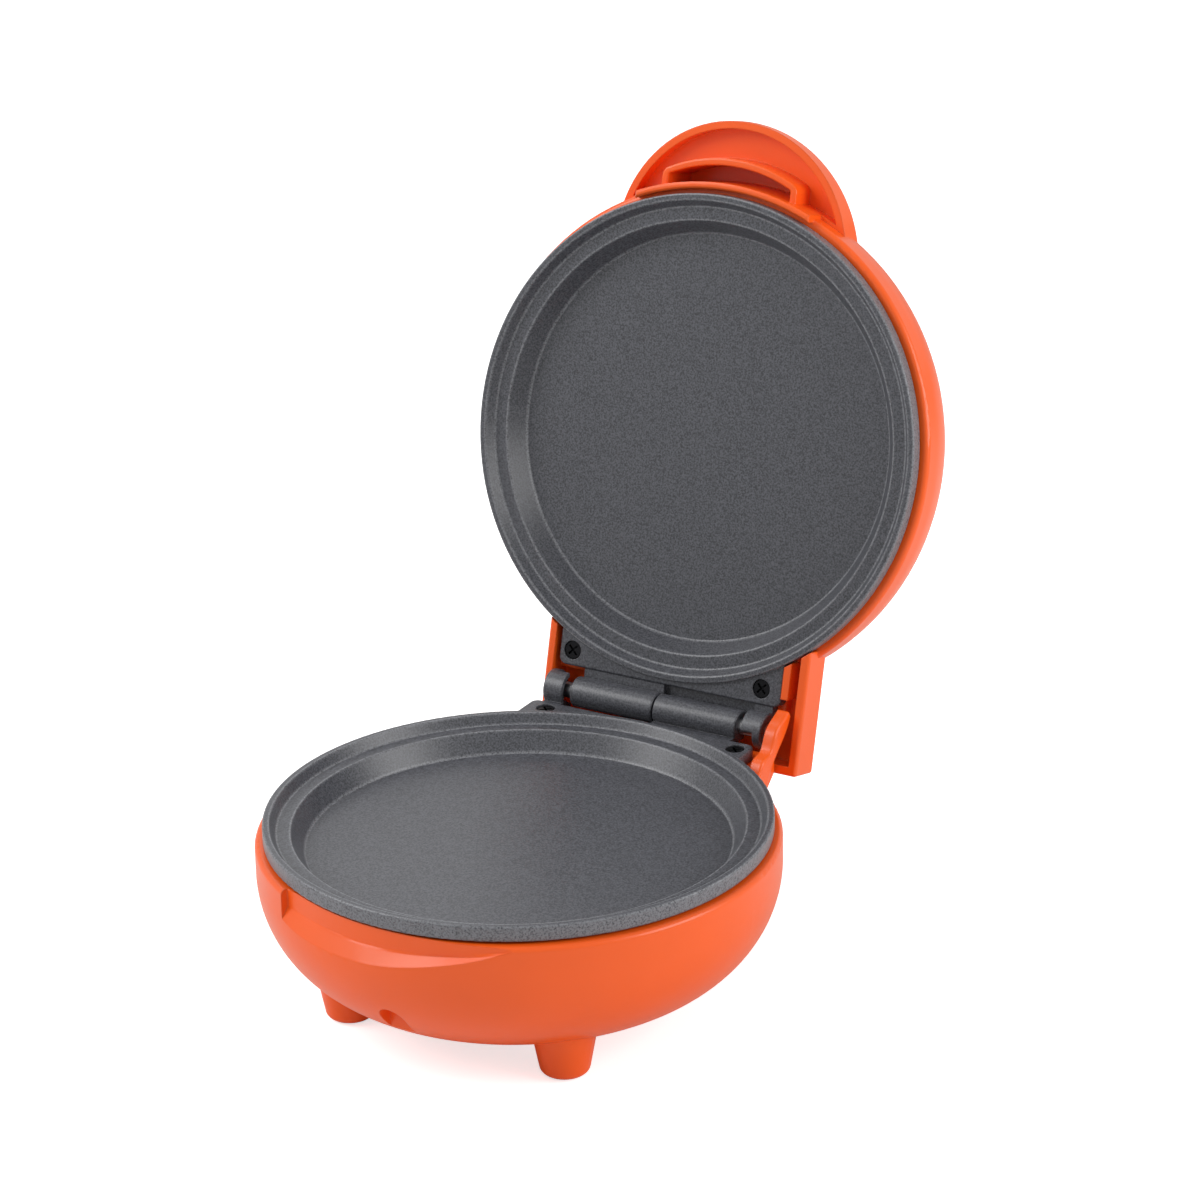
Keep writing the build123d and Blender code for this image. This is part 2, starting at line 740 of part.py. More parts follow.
def handle_guard():
    """Guard wall between the plate's rim and the fingers, its top edges broken."""
    frame = lid_frame
    with BuildPart() as guard:
        with BuildSketch(frame.offset(-handle_recess - wall / 2)):
            Circle(guard_outer)
            Circle(guard_inner, mode=Mode.SUBTRACT)
            with Locations((0, -plate_radius)):
                Rectangle(2 * guard_half_width, plate_radius / 2, mode=Mode.INTERSECT)
        extrude(amount=handle_recess + wall / 2 - guard_top)
        chamfer(guard.faces().sort_by(plate_axis(frame))[-1].edges(), edge_round)
    return guard.part


def pocket_outline(inset):
    """Outline of the walled pocket: square at the dome, bowed and rounded at the front."""
    half = pocket_half_width - inset
    front = pocket_front - inset
    corner = front - half**2 / (2 * pocket_bow)
    back = guard_inner - guard_half_width / 2
    with BuildSketch() as outline:
        with BuildLine():
            Line((-half, -back), (-half, -corner))
            ThreePointArc((-half, -corner), (0, -front), (half, -corner))
            Line((half, -corner), (half, -back))
            Line((half, -back), (-half, -back))
        make_face()
        fillet(outline.vertices().sort_by(Axis.Y)[0:2], pocket_round - inset)
    return outline.sketch


def pocket_walls():
    """Walls of the pocket in front of the guard, rounded along their top."""
    frame = lid_frame
    with BuildPart() as walls:
        with BuildSketch(frame.offset(-handle_recess - wall / 2)):
            add(pocket_outline(0.0))
            add(pocket_outline(pocket_wall), mode=Mode.SUBTRACT)
        extrude(amount=handle_recess + wall / 2 - pocket_top)
        fillet(walls.faces().sort_by(plate_axis(frame))[-1].edges(), edge_round)
        disc(frame, -handle_recess - wall, 0, guard_outer - guard_wall / 2, mode=Mode.SUBTRACT)
    return walls.part


def hinge_cover():
    """Block of the hinge cover behind the lid's dome, with rounded edges."""
    frame = lid_frame
    with BuildPart() as cover:
        slab(
            frame, (-cover_fin_side, cover_free_side), (bowl_radius - cover_start, cover_reach),
            (-cover_depth, -cover_edge),
        )
        fillet(cover.edges(), cover_round)
    return cover.part


def build_base_housing():
    frame = base_frame
    with BuildPart() as housing:
        with BuildSketch(section(frame)):
            add(bowl_outline(bowl_depth, bowl_corner, bowl_radius, lip_drop, lip_round))
        revolve(axis=plate_axis(frame))

        # Shelf under the hinge tab, as far as the fin
        with BuildSketch(side(frame, -shelf_half_width)):
            with BuildLine():
                Polyline(
                    (bowl_radius - shelf_start, -shelf_top), (shelf_reach, -shelf_top),
                    (shelf_reach, -shelf_edge), (bowl_radius - shelf_low_inset, -shelf_low),
                    (bowl_radius - shelf_start, -shelf_low), close=True,
                )
            make_face()
        extrude(amount=shelf_half_width + fin_inner + fin_round)

        # Stud feet, wider towards the bowl; the rear ones end in a slope against its side
        feet_end = rim_height - pad_proud
        for places, top in ((foot_places[:2], front_foot_top), (foot_places[2:], rear_leg_top)):
            top_radius = foot_end_radius + foot_taper * (feet_end - top)
            for place in places:
                with BuildSketch(frame.offset(-feet_end)):
                    with Locations(place):
                        Circle(foot_end_radius)
                with BuildSketch(frame.offset(-top)):
                    with Locations(place):
                        Circle(top_radius)
                loft()
        for place in foot_places[2:]:
            with BuildSketch(frame.offset(-rear_leg_top)):
                with Locations(place):
                    Circle(foot_end_radius + foot_taper * (feet_end - rear_leg_top))
            with BuildSketch(frame.offset(-rear_leg_top + rear_leg_cap)):
                with Locations(place):
                    Circle(rear_leg_cap_radius)
            loft()
        ends = housing.edges().filter_by(GeomType.CIRCLE).group_by(Axis.Z)[0]
        fillet(ends, foot_round)

        add(finger_scoop(), mode=Mode.SUBTRACT)
        add(base_room(), mode=Mode.SUBTRACT)

        # Cord notch low at the front
        with BuildSketch(facing_hinge(frame, -notch_face)):
            with Locations((0, -notch_top - bowl_depth / 2)):
                RectangleRounded(notch_width, bowl_depth, 0.49 * notch_width)
        extrude(amount=-bowl_radius, mode=Mode.SUBTRACT)

        add(hinge_fin())
        hook_ledges(frame, bowl_radius - scoop_sections[3][1] - ledge_gap)

        # Cord inlet boss at the rear, and its bore
        with BuildSketch(facing_hinge(frame, inlet_boss_start)):
            with Locations((0, -inlet_drop)):
                Circle(inlet_boss_radius)
        extrude(amount=inlet_boss_end - inlet_boss_start)
        with BuildSketch(facing_hinge(frame, inlet_boss_start)):
            with Locations((0, -inlet_drop)):
                Circle(bush_radius + bush_fit)
        extrude(amount=inlet_boss_end - inlet_boss_start, mode=Mode.SUBTRACT)

        # Posts for the terminal block
        posts = [(-post_x, block_v), (post_x, block_v)]
        disc(frame, -inner_bottom - wall / 2, -inner_bottom + post_height, post_radius, posts)
        disc(frame, -inner_bottom, -inner_bottom + post_height, small_screw_shank, posts, Mode.SUBTRACT)

        screw_pilots(frame, shelf_top + plate_screw_length - pilot_cover)
        disc(
            frame, -rim_height, -rim_height + pad_proud + pad_recess, pad_radius + contact_gap, foot_places,
            Mode.SUBTRACT,
        )
    return housing


def build_foot_pads():
    with BuildPart() as pads:
        disc(base_frame, -rim_height, -rim_height + pad_proud + pad_recess, pad_radius, foot_places)
    return pads


def build_lid_housing():
    frame = lid_frame
    with BuildPart() as housing:
        with BuildSketch(section(frame)):
            add(bowl_outline(lid_depth, lid_corner, bowl_radius, lip_drop, lip_round))
        revolve(axis=plate_axis(frame))

        # Hinge cover behind the dome, hollowed from the open side
        add(hinge_cover())
        slab(
            frame, (-cover_fin_side + cover_wall, cover_free_side - cover_wall),
            (bowl_radius - cover_hollow_start, cover_reach - wall), (-cover_depth + wall, 0), Mode.SUBTRACT,
        )

        # Shelf under the hinge tab, with a rib beside the tab's wider end
        slab(
            frame, (-tab_ear_side - cover_edge, cover_free_side - cover_wall / 2),
            (bowl_radius - lid_shelf_start, lid_shelf_reach), (-cover_depth + wall / 2, -shelf_top),
        )
        slab(
            frame, (-tab_ear_side - cover_edge - rib_wall, -tab_ear_side - cover_edge),
            (bowl_radius - rib_start, bowl_radius - rib_end),
            (-cover_depth + wall / 2, -cover_edge - rib_edge),
        )

        disc(frame, -lip_drop, 0, plate_radius + rim_gap, mode=Mode.SUBTRACT)
        add(housing_hollow(frame, lid_depth, lid_corner), mode=Mode.SUBTRACT)
        hook_ledges(frame, bowl_radius - wall / 2)
        add(handle_solid())

        screw_pilots(frame, cover_depth - wall / 2)
        disc(frame, -lid_depth, -inner_top, lens_stem + lens_fit, [(0, lamp_v)], Mode.SUBTRACT)
        disc(frame, -inner_top - wall / 2, -inner_top + lamp_length, lens_stem + lens_wall, [(0, lamp_v)])
        disc(frame, -lid_depth, -inner_top + lamp_length, lens_stem + lens_fit, [(0, lamp_v)], Mode.SUBTRACT)
    return housing


def build_hinge_pins():
    with BuildPart() as pins:
        hinge_bar(base_frame, pin_inner_end, ear_outer, pin_radius)
        hinge_bar(base_frame, -ear_outer, -pin_inner_end, pin_radius)
    return pins


def build_cord_bush():
    frame = base_frame
    with BuildPart() as bush:
        with BuildSketch(facing_hinge(frame, inlet_boss_start)):
            with Locations((0, -inlet_drop)):
                Circle(bush_radius)
        extrude(amount=inlet_boss_end - inlet_boss_start)
        with BuildSketch(facing_hinge(frame, inlet_boss_end)):
            with Locations((0, -inlet_drop)):
                Circle(bush_flange)
        extrude(amount=bush_flange_thickness)
        with BuildSketch(facing_hinge(frame, inlet_boss_start)):
            with Locations((0, -inlet_drop)):
                Circle(bush_bore)
        extrude(amount=inlet_boss_end - inlet_boss_start + bush_flange_thickness, mode=Mode.SUBTRACT)
    return bush


def build_terminal_block():
    frame = base_frame
    with BuildPart() as block:
        slab(
            frame, (-block_size[0] / 2, block_size[0] / 2),
            (block_v - block_size[1] / 2, block_v + block_size[1] / 2),
            (-block_low, -block_low + block_size[2]),
        )
        fillet(block.edges().filter_by(Axis.Z), block_round)
        with BuildSketch(facing_hinge(frame, block_v - block_size[1] / 2)):
            with Locations(*[(-port, -block_low + block_size[2] / 2) for port in block_ports]):
                Circle(port_radius)
        extrude(amount=block_size[1], mode=Mode.SUBTRACT)
        disc(
            frame, -block_low + block_size[2] / 2, -block_low + block_size[2],
            port_radius + port_screw_clearance,
            [(port, block_v) for port in block_ports], Mode.SUBTRACT,
        )
    return block


def build_terminal_screws():
    top = -block_low + block_size[2]
    return cross_head_screws(
        base_frame, [(port, block_v) for port in block_ports], top, port_radius, port_screw_height,
        port_radius - port_shank_inset, port_screw_height,
    )


def build_thermostat():
    """Disc thermostat pressed against the plate, with a flange and two blades."""
    frame = base_frame
    top = -underside - contact_gap
    flange_top = -underside - thermostat_drop - contact_gap
    with BuildPart() as body:
        disc(frame, top - thermostat_height, top, thermostat_radius)
        slab(
            frame, (-thermostat_flange[0] / 2, thermostat_flange[0] / 2),
            (-thermostat_flange[1] / 2, thermostat_flange[1] / 2),
            (flange_top - thermostat_flange[2], flange_top),
        )
        disc(
            frame, flange_top - thermostat_flange[2], flange_top, small_screw_shank + shank_clearance,
            thermostat_screw_places(), Mode.SUBTRACT,
        )
        for u in (-blade_x, blade_x):
            slab(
                frame, (u - blade_size[0] / 2, u + blade_size[0] / 2), (-blade_size[1] / 2, blade_size[1] / 2),
                (top - thermostat_height - blade_size[2], top - thermostat_height),
            )
    return body


def build_thermostat_screws():
    flange_low = -underside - thermostat_drop - contact_gap - thermostat_flange[2]
    return cross_head_screws(
        base_frame, thermostat_screw_places(), flange_low - small_head_height, small_screw_head,
        small_head_height, small_screw_shank - contact_gap, thermostat_screw_length, sign=-1,
    )


def thermal_fuse(frame):
    with BuildPart() as fuse:
        with BuildSketch(side(frame, -fuse_length / 2)):
            with Locations((fuse_v, -fuse_drop)):
                Circle(fuse_radius)
        extrude(amount=fuse_length)
    return fuse


def fuse_clip(frame):
    """Clip that holds the fuse against the reflector."""
    reach = fuse_radius + clip_wall
    with BuildPart() as clip:
        slab(
            frame, (-clip_width / 2, clip_width / 2), (fuse_v - reach, fuse_v + reach),
            (-fuse_drop - reach, -reflector_bottom - contact_gap),
        )
        with BuildSketch(side(frame, -clip_width / 2)):
            with Locations((fuse_v, -fuse_drop)):
                Circle(fuse_radius + contact_gap)
        extrude(amount=clip_width, mode=Mode.SUBTRACT)
    return clip


def lead(frame, points, bend):
    """One insulated lead along straight runs joined by arcs."""
    with BuildPart() as wire:
        with BuildLine() as route:
            FilletPolyline(*[spot(frame, *point) for point in points], radius=bend)
        start = route.wires()[0] @ 0
        heading = route.wires()[0] % 0
        with BuildSketch(Plane(origin=start, z_dir=heading)):
            Circle(lead_radius)
        sweep(path=route.wires()[0])
    return wire.part


def build_base_leads():
    """Leads from the terminal block round the thermostat, the heater and the fuse."""
    frame = base_frame
    left, right = heater_leg_places()
    port_w = -block_low + block_size[2] / 2
    port_v = block_v - block_size[1] / 3
    blade_end = -underside - contact_gap - thermostat_height - blade_size[2]
    low = -inner_bottom + lead_low
    beside = block_size[0] / 2 + lead_side
    dip = blade_end - 2 * lead_bend
    with BuildPart() as leads:
        add(lead(frame, [
            (-port_pitch, port_v, port_w), (-port_pitch, port_v - block_size[1], port_w),
            (-blade_x, 0.0, blade_end - block_size[2] * 0.64), (-blade_x, 0.0, blade_end),
        ], lead_wide_bend))
        add(lead(frame, [
            (blade_x, 0.0, blade_end), (blade_x, 0.0, dip), (beside, port_pitch, dip),
            (beside, right[1] - lead_back, low), (right[0], right[1], low),
            (right[0], right[1], -heater_pin_end),
        ], lead_bend))
        add(lead(frame, [
            (left[0], left[1], -heater_pin_end), (left[0], left[1], low),
            (-beside, left[1] - lead_back, low), (-beside, fuse_v + port_pitch, low + lead_bend),
            (-beside, fuse_v, -fuse_drop), (-fuse_length / 2, fuse_v, -fuse_drop),
        ], lead_bend))
        add(lead(frame, [
            (fuse_length / 2, fuse_v, -fuse_drop), (beside, fuse_v, -fuse_drop),
            (beside, fuse_v + port_pitch, low + lead_bend), (port_pitch, -port_pitch, low),
            (port_pitch, block_v - block_size[1] * 1.5, low),
            (port_pitch, port_v - block_size[1] / 2, port_w),
            (port_pitch, port_v, port_w),
        ], lead_bend))
    return leads


def build_indicator_lens():
    frame = lid_frame
    with BuildPart() as lens:
        disc(frame, -lid_depth - lens_proud, -lid_depth, lens_radius, [(0, lamp_v)])
        fillet(lens.edges().filter_by(GeomType.CIRCLE), lens_round)
        disc(frame, -lid_depth, -inner_top + lens_inside, lens_stem, [(0, lamp_v)])
    return lens


def build_indicator_lamp():
    frame = lid_frame
    low = -inner_top + lens_inside + contact_gap
    with BuildPart() as lamp:
        disc(frame, low, low + lamp_length, lamp_radius, [(0, lamp_v)])
        disc(frame, low + lamp_length - lamp_base, low + lamp_length, lens_stem, [(0, lamp_v)])
    return lamp


def build_lid_leads():
    """Leads from the lamp to both ends of the upper heater."""
    frame = lid_frame
    lamp_end = -inner_top + lens_inside + contact_gap + lamp_length
    low = -inner_top + lead_low / 2
    with BuildPart() as leads:
        for turn, leg in zip((-1, 1), heater_leg_places()):
            add(lead(frame, [
                (turn * lamp_pitch, lamp_v, lamp_end), (turn * lamp_pitch, lamp_v, lamp_end + lamp_lead_rise),
                (turn * lamp_lead_narrow, lamp_v + lamp_lead_spread, lamp_end + lead_bend),
                (turn * lamp_lead_spread, lamp_lead_narrow, low + lamp_lead_bend),
                (turn * lamp_lead_spread, leg[1] - lead_back, low), (leg[0], leg[1], low),
                (leg[0], leg[1], -heater_pin_end),
            ], lamp_lead_bend))
    return leads


pieces = {
    "base_housing": build_base_housing(),
    "foot_pads": build_foot_pads(),
    "lower_plate": cooking_plate(base_frame),
    "lower_plate_screws": tab_screws(base_frame),
    "lower_heater": heater(base_frame),
    "lower_heater_ends": heater_ends(base_frame),
    "lower_reflector": reflector(base_frame, True),
    "lower_reflector_screws": reflector_screws(base_frame),
    "thermostat": build_thermostat(),
    "thermostat_screws": build_thermostat_screws(),
    "thermal_fuse": thermal_fuse(base_frame),
    "fuse_clip": fuse_clip(base_frame),
    "terminal_block": build_terminal_block(),
    "terminal_screws": build_terminal_screws(),
    "base_leads": build_base_leads(),
    "cord_bush": build_cord_bush(),
    "hinge_pins": build_hinge_pins(),
    "lid_housing": build_lid_housing(),
    "upper_plate": cooking_plate(lid_frame),
    "upper_plate_screws": tab_screws(lid_frame),
    "upper_heater": heater(lid_frame),
    "upper_heater_ends": heater_ends(lid_frame),
    "upper_reflector": reflector(lid_frame, False),
    "upper_reflector_screws": reflector_screws(lid_frame),
    "indicator_lens": build_indicator_lens(),
    "indicator_lamp": build_indicator_lamp(),
    "lid_leads": build_lid_leads(),
}

os.makedirs("parts", exist_ok=True)
for name, piece in pieces.items():
    piece.part.label = name
    export_step(piece.part, f"parts/{name}.step")

whole = Compound(children=[piece.part for piece in pieces.values()]).bounding_box()
print("box", whole.min, whole.max)
print("hinge at", hinge_point)
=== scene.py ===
"""Finishes, lights and photographs the open pancake maker.

The shapes are the solids of the frame. This file gives each of them its material, and sets up the table,
the lamps and the camera.
"""

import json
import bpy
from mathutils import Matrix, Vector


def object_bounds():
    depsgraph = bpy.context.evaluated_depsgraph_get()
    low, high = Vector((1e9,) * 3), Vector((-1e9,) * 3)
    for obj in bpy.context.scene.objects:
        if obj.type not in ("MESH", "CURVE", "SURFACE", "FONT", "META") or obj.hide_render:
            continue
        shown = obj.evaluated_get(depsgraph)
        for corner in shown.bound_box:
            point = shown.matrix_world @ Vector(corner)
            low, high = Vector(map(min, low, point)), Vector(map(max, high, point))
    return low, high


bl_info = {
    "name": "Pancake maker finish",
    "version": (1, 0, 0),
    "blender": (4, 5, 0),
    "location": "View3D > Sidebar > Pancake maker",
    "description": "Finishes, lights and photographs the open pancake maker",
    "category": "Object",
}

from functools import reduce
from math import cos, radians, sin

import bpy
from bpy.props import FloatProperty, FloatVectorProperty, PointerProperty
from mathutils import Matrix, Vector

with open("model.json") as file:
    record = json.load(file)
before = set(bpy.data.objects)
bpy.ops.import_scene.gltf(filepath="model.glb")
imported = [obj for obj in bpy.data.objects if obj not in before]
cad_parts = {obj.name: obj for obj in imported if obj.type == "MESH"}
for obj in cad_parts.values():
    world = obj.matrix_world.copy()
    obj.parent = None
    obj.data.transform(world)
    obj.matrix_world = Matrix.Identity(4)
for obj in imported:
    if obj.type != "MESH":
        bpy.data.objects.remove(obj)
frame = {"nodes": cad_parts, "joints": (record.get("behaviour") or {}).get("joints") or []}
solid_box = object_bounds()

MM = 0.001

# The two castings: the middle of each plate's rim, from the hinge and the lean of the open lid
HINGE = Vector(frame["joints"][0]["pos_m"])
HINGE_REACH = 69.0 * MM
HINGE_RISE = 0.5 * MM
LEAN = radians(104.9)
RIM_CENTRE = HINGE - Vector((0, HINGE_REACH, HINGE_RISE))
LID_NORMAL = Vector((0, -sin(LEAN), -cos(LEAN)))
LID_TO_HINGE = Vector((0, cos(LEAN), -sin(LEAN)))
LID_CENTRE = HINGE - LID_TO_HINGE * HINGE_REACH - LID_NORMAL * HINGE_RISE
# The coating's pale painted highlight lines run at these radii.
CASTING_EDGES = (51.6, 54.9, 58.2, 59.95, 61.35)    # radii of a plate's round edges, in millimetres

# Photograph
CAMERA_AIM = RIM_CENTRE + Vector((23.865, 0.0, 59.482)) * MM
SENSOR_WIDTH = 36.0
SIGHT = 60.0
TABLE_SIZE = 30.0
TABLE_WHITE = (0.86, 0.86, 0.86)
TABLE_GLOW = 0.68
LAMPS = {
    # Size, and place from the middle of the part, in metres
    "key": (0.7, (-0.75, -0.5, 0.75)),
    "side": (0.5, (0.8, 0.1, 0.35)),
    "top": (0.5, (-0.45, 0.45, 0.8)),
}


def srgb(red, green, blue):
    """A colour read as 0 to 255, as the linear value that a shader takes."""
    levels = [c / 255 for c in (red, green, blue)]
    return tuple(c / 12.92 if c <= 0.04045 else ((c + 0.055) / 1.055) ** 2.4 for c in levels)


def opaque(colour, factor=1.0):
    """A colour with its alpha, lighter or darker by a factor."""
    return (*[min(1.0, c * factor) for c in colour], 1.0)


# Shaders

class Wire:
    """A socket of a finish that can be added, multiplied and compared like a number."""

    def __init__(self, finish, socket):
        self.finish = finish
        self.socket = socket

    def maths(self, operation, *values):
        return self.finish.add("Math", {"operation": operation}, dict(enumerate(values)))

    def __add__(self, other):
        return self.maths("ADD", self, other)

    def __radd__(self, other):
        return self.maths("ADD", other, self)

    def __sub__(self, other):
        return self.maths("SUBTRACT", self, other)

    def __rsub__(self, other):
        return self.maths("SUBTRACT", other, self)

    def __mul__(self, other):
        return self.maths("MULTIPLY", self, other)

    def __rmul__(self, other):
        return self.maths("MULTIPLY", other, self)

    def __abs__(self):
        return self.maths("ABSOLUTE", self)

    def root(self):
        return self.maths("SQRT", self)

    def higher(self, other):
        return self.maths("MAXIMUM", self, other)

    def above(self, low, high):
        """0 below low, 1 above high, and smooth between."""
        settings = {"interpolation_type": "SMOOTHSTEP"}
        return self.finish.add("MapRange", settings, {0: self, 1: low, 2: high, 3: 0.0, 4: 1.0})

    def near(self, value, width):
        """1 at value, falling to 0 at width either side."""
        return 1 - abs(self - value).above(0.0, width)


class Finish:
    """The nodes of one material, or of the world's light."""

    def __init__(self, name, store=bpy.data.materials):
        self.owner = store.new(name)
        self.owner.use_nodes = True
        self.tree = self.owner.node_tree
        self.tree.nodes.clear()

    def add(self, kind, settings=None, sockets=None, output=0):
        """Adds a node with these settings and socket values or links, and gives one of its outputs."""
        node = self.tree.nodes.new("ShaderNode" + kind)
        for name, value in (settings or {}).items():
            setattr(node, name, value)
        for name, value in (sockets or {}).items():
            if isinstance(value, Wire):
                self.tree.links.new(value.socket, node.inputs[name])
            else:
                node.inputs[name].default_value = value
        return Wire(self, node.outputs[output])

    def outputs(self, wire, *names):
        """Other outputs of the node that a wire comes from."""
        return [Wire(self, wire.socket.node.outputs[name]) for name in names]

    def place(self):
        return self.add("TexCoord", output="Object")

    def seen_by(self, *rays):
        """1 for a ray of any of these kinds, 0 for the others."""
        return reduce(Wire.higher, self.outputs(self.add("LightPath"), *rays))

    def grain(self, size, detail=2.0, roughness=0.5):
        """Noise from 0 to 1 with features of about the given size in metres."""
        sockets = {"Vector": self.place(), "Scale": 1 / size, "Detail": detail, "Roughness": roughness}
        return self.add("TexNoise", {"noise_dimensions": "3D"}, sockets)

    def blend(self, amount, first, second):
        """A colour between two others."""
        settings = {"data_type": "RGBA", "blend_type": "MIX"}
        return self.add("Mix", settings, {0: amount, 6: first, 7: second}, output=2)

    def rounded(self, radius):
        return self.add("Bevel", {"samples": 6}, {"Radius": radius})

    def bumped(self, height, depth, radius):
        """The normal of a surface of the given depth, with its edges eased."""
        sockets = {"Strength": 1.0, "Distance": depth, "Height": height, "Normal": self.rounded(radius)}
        return self.add("Bump", {}, sockets)

    def ended(self, shader, output="OutputMaterial"):
        """Joins the last shader to the output."""
        node = self.tree.nodes.new("ShaderNode" + output)
        self.tree.links.new(shader.socket, node.inputs["Surface"])
        return self.owner

    def done(self, **sockets):
        """Ends the finish in a Principled BSDF with these sockets."""
        named = {name.replace("_", " "): value for name, value in sockets.items()}
        return self.ended(self.add("BsdfPrincipled", {}, named))


def moulded_orange(settings):
    """Satin gloss moulding: a faint mottle in the colour and the gloss, and eased edges."""
    finish = Finish("orange_moulding")
    mottle = finish.grain(settings.mottle_size, detail=3.0)
    dark = opaque(settings.colour, 1 - settings.mottle)
    pale = opaque(settings.colour, 1 + settings.mottle)
    fine = finish.grain(settings.fine_size)
    broad = finish.grain(settings.broad_size)
    ripple = fine * settings.fine_share + broad * (1 - settings.fine_share)
    return finish.done(
        Base_Color=finish.blend(mottle, dark, pale),
        Roughness=settings.roughness + (mottle - 0.5) * settings.gloss_change,
        Specular_IOR_Level=settings.specular,
        Coat_Weight=settings.coat,
        Coat_Roughness=settings.coat_roughness,
        Normal=finish.bumped(ripple, settings.ripple, settings.edge),
    )


def nonstick_coating(name, settings, centre, lean):
    """Grained dark coating, with pale painted highlight lines along the casting's round edges, broken up by
    the grain.
    """
    finish = Finish(name)
    local = finish.add(
        "Mapping", {"vector_type": "TEXTURE"},
        {"Vector": finish.place(), "Location": centre, "Rotation": (lean, 0.0, 0.0)},
    )
    across, along = finish.outputs(finish.add("SeparateXYZ", {}, {0: local}), "X", "Y")
    radius = (across * across + along * along).root()
    # Pale lines at the round edges' radii are painted highlight, broken up by the grain.
    lines = [radius.near(edge * MM, settings.edge_width) for edge in CASTING_EDGES]
    speckle = finish.grain(settings.grain, roughness=0.6)
    painted_edge_highlight = reduce(Wire.higher, lines) * speckle.above(0.2, 0.6) * settings.edge_highlight_strength
    dark = opaque(settings.colour, settings.dark)
    pale = opaque(settings.colour, settings.pale)
    body = finish.blend(speckle.above(0.3, 0.7), dark, pale)
    blotch = finish.grain(settings.blotch_size, detail=3.0) * settings.blotch
    body = finish.blend(blotch, body, opaque(settings.colour))
    # The base colour takes the pale painted highlight along the round edges.
    return finish.done(
        Base_Color=finish.blend(painted_edge_highlight, body, opaque(settings.edge_highlight_colour)),
        Roughness=settings.roughness + (speckle - 0.5) * settings.gloss_change,
        Specular_IOR_Level=0.5,
        Normal=finish.bumped(speckle, settings.grain_depth, settings.edge),
    )


def drawn_metal(name, colour, roughness):
    """Bare or plated steel, brass or aluminium with a faint drawn grain."""
    finish = Finish(name)
    grain = finish.grain(0.5 * MM, detail=3.0)
    streak = 0.3 * roughness
    return finish.done(
        Base_Color=opaque(colour),
        Metallic=1.0,
        Roughness=roughness + (grain - 0.5) * streak,
        Normal=finish.bumped(grain, 0.008 * MM, 0.15 * MM),
    )


def plain_part(name, colour, roughness, depth=0.01 * MM):
    """Moulded, fired or rubber piece with a slight surface."""
    finish = Finish(name)
    grain = finish.grain(0.8 * MM, detail=3.0)
    return finish.done(
        Base_Color=finish.blend(grain, opaque(colour, 0.9), opaque(colour, 1.1)),
        Roughness=roughness + (grain - 0.5) * 0.1,
        Normal=finish.bumped(grain, depth, 0.2 * MM),
    )


def clear_piece(name, colour, roughness):
    """Clear moulding or glass with some colour of its own."""
    return Finish(name).done(
        Base_Color=opaque(colour), Roughness=roughness, Transmission_Weight=0.6, IOR=1.49,
    )


def dress(node, material):
    """Gives a solid of the frame its finish."""
    slots = frame["nodes"][node].data.materials
    slots.clear()
    slots.append(material)


# Settings

def colour_of(name, description, colour):
    return FloatVectorProperty(
        name=name, description=description, subtype="COLOR", size=3, default=colour, min=0, max=1,
    )


def share_of(name, description, default):
    return FloatProperty(name=name, description=description, default=default, min=0, max=1)


def length_of(name, description, millimetres):
    return FloatProperty(name=name, description=description, default=millimetres * MM, unit="LENGTH")


def angle_of(name, description, degrees):
    return FloatProperty(name=name, description=description, default=radians(degrees), subtype="ANGLE")


def power_of(name, description, watts):
    return FloatProperty(name=name, description=description, default=watts, unit="POWER")


class MouldingSettings(bpy.types.PropertyGroup):
    colour: colour_of("Colour", "Colour of both mouldings", srgb(245, 94, 22))
    mottle: share_of("Mottle", "How much lighter and darker the colour gets", 0.05)
    mottle_size: length_of("Mottle size", "Size of the mottle", 22)
    roughness: share_of("Roughness", "Gloss of the mouldings", 0.34)
    gloss_change: share_of("Gloss change", "How much the gloss follows the mottle", 0.08)
    specular: share_of("Specular", "Strength of the surface's reflection", 0.36)
    coat: share_of("Coat", "Strength of the sharper gloss on top", 0.15)
    coat_roughness: share_of("Coat roughness", "Sharpness of the gloss on top", 0.14)
    ripple: length_of("Ripple", "Depth of the surface ripple", 0.03)
    fine_size: length_of("Fine ripple", "Size of the fine ripple", 0.6)
    broad_size: length_of("Broad ripple", "Size of the broad ripple", 9)
    fine_share: share_of("Fine share", "Share of the fine ripple in the depth", 0.35)
    edge: length_of("Edge", "Radius that eases the edges", 0.5)


class CoatingSettings(bpy.types.PropertyGroup):
    colour: colour_of("Colour", "Colour of the non-stick coating", srgb(72, 73, 78))
    dark: FloatProperty(name="Dark", description="Darkest grain against the colour", default=0.5, min=0)
    pale: FloatProperty(name="Pale", description="Palest grain against the colour", default=1.7, min=0)
    grain: length_of("Grain", "Size of the coating's grain", 0.46)
    grain_depth: length_of("Grain depth", "Depth of the grain", 0.035)
    blotch: share_of("Blotch", "How much the grain fades in blotches", 0.25)
    blotch_size: length_of("Blotch size", "Size of the blotches", 9)
    roughness: share_of("Roughness", "Gloss of the coating", 0.34)
    gloss_change: share_of("Gloss change", "How much the gloss follows the grain", 0.12)
    edge: length_of("Edge", "Radius that eases the edges", 0.35)
    # Edge colour, width and wear set the pale painted highlight along the plate's round edges.
    edge_highlight_colour: colour_of("Edge colour", "Colour where the coating is thin", srgb(150, 151, 155))
    edge_width: length_of("Edge width", "Width of the pale line along an edge", 0.45)
    edge_highlight_strength: share_of("Edge wear", "How much paler the edges are", 0.55)


